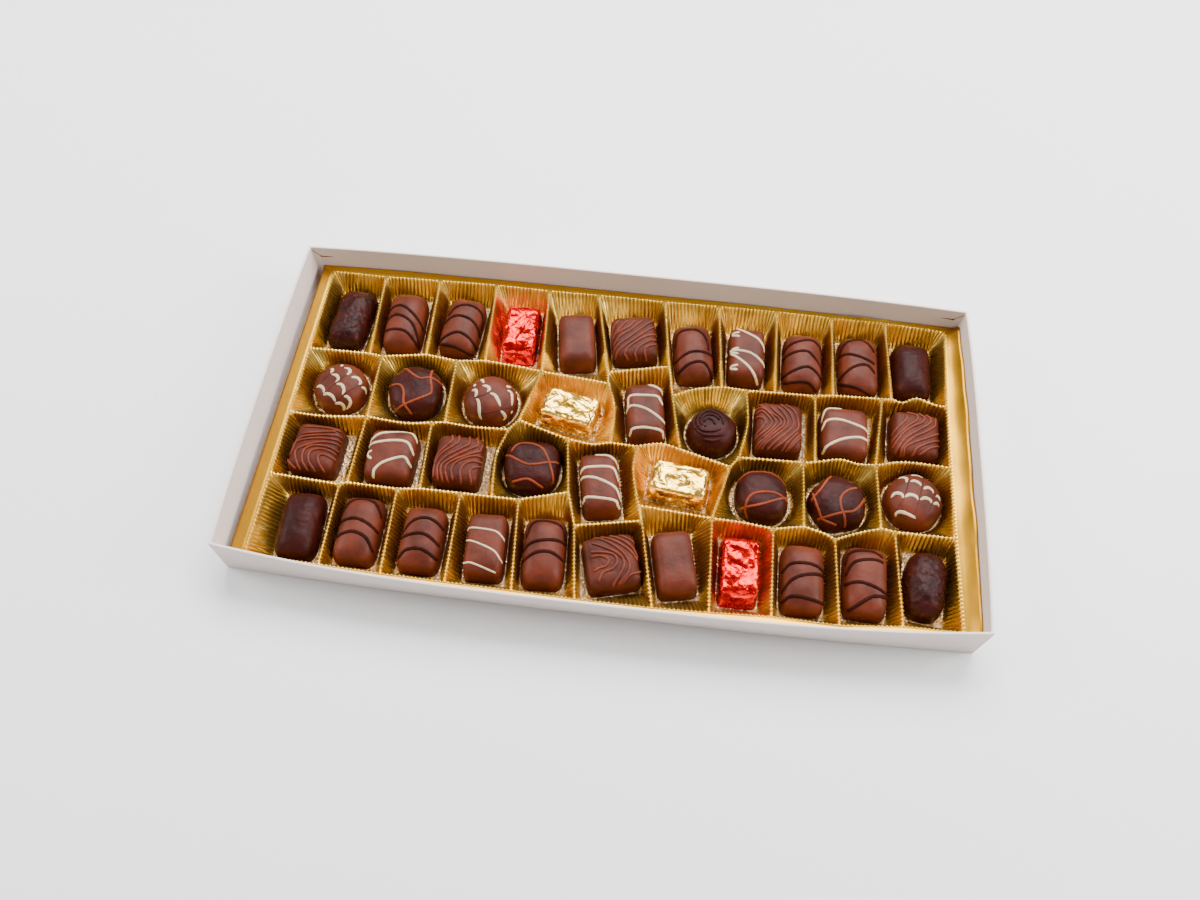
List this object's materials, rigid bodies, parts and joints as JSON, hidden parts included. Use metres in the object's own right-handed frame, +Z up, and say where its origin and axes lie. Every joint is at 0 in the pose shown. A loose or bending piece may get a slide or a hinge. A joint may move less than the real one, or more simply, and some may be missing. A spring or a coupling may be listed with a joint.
{
  "type": "box of chocolate pralines",
  "caption": "Shallow open cardboard tray with a gold formed insert of separate pockets, each holding a chocolate praline: logs, slabs, rounds, squares and foil-wrapped blocks",
  "frame": {"origin": "centre of the tray's underside, on the plane it rests on", "axes": "+X along the box to its right end as seen in the picture, +Y from its front wall to its back wall, +Z up out of the box"},
  "size_m": [0.3628, 0.191, 0.028],
  "materials": {
    "board": "coated grey-beige board, slight sheen inside",
    "gold_sheet": "metallised gold sheet, pockets fluted, bright rims",
    "milk_chocolate": "tempered milk chocolate, soft gloss",
    "dark_chocolate": "tempered dark chocolate, satin",
    "red_foil": "red metal foil, finely crumpled",
    "gold_foil": "gold metal foil, finely crumpled"
  },
  "bodies": {
    "root": {"tray": "board", "insert": "gold_sheet", "praline_01_lumpy_dark": "dark_chocolate", "praline_02_milk_log": "milk_chocolate", "praline_03_milk_log": "milk_chocolate", "praline_04_red_foil": "red_foil", "praline_05_plain_milk": "milk_chocolate", "praline_06_ridged_milk": "milk_chocolate", "praline_07_milk_log": "milk_chocolate", "praline_08_zigzag_milk": "milk_chocolate", "praline_09_milk_log": "milk_chocolate", "praline_10_milk_log": "milk_chocolate", "praline_11_smooth_dark": "dark_chocolate", "praline_12_feathered_round": "milk_chocolate", "praline_13_lined_dark": "dark_chocolate", "praline_14_netted_round": "milk_chocolate", "praline_15_gold_foil": "gold_foil", "praline_16_striped_milk": "milk_chocolate", "praline_17_swirled_dark": "dark_chocolate", "praline_18_ridged_milk": "milk_chocolate", "praline_19_striped_square": "milk_chocolate", "praline_20_ridged_milk": "milk_chocolate", "praline_21_ridged_milk": "milk_chocolate", "praline_22_striped_square": "milk_chocolate", "praline_23_ridged_milk": "milk_chocolate", "praline_24_lined_dark": "dark_chocolate", "praline_25_striped_milk": "milk_chocolate", "praline_26_gold_foil": "gold_foil", "praline_27_lined_dark": "dark_chocolate", "praline_28_lined_dark": "dark_chocolate", "praline_29_feathered_round": "milk_chocolate", "praline_30_smooth_dark": "dark_chocolate", "praline_31_milk_log": "milk_chocolate", "praline_32_milk_log": "milk_chocolate", "praline_33_striped_milk": "milk_chocolate", "praline_34_milk_log": "milk_chocolate", "praline_35_ridged_milk": "milk_chocolate", "praline_36_plain_milk": "milk_chocolate", "praline_37_red_foil": "red_foil", "praline_38_milk_log": "milk_chocolate", "praline_39_milk_log": "milk_chocolate", "praline_40_lumpy_dark": "dark_chocolate"}
  },
  "joints": []
}
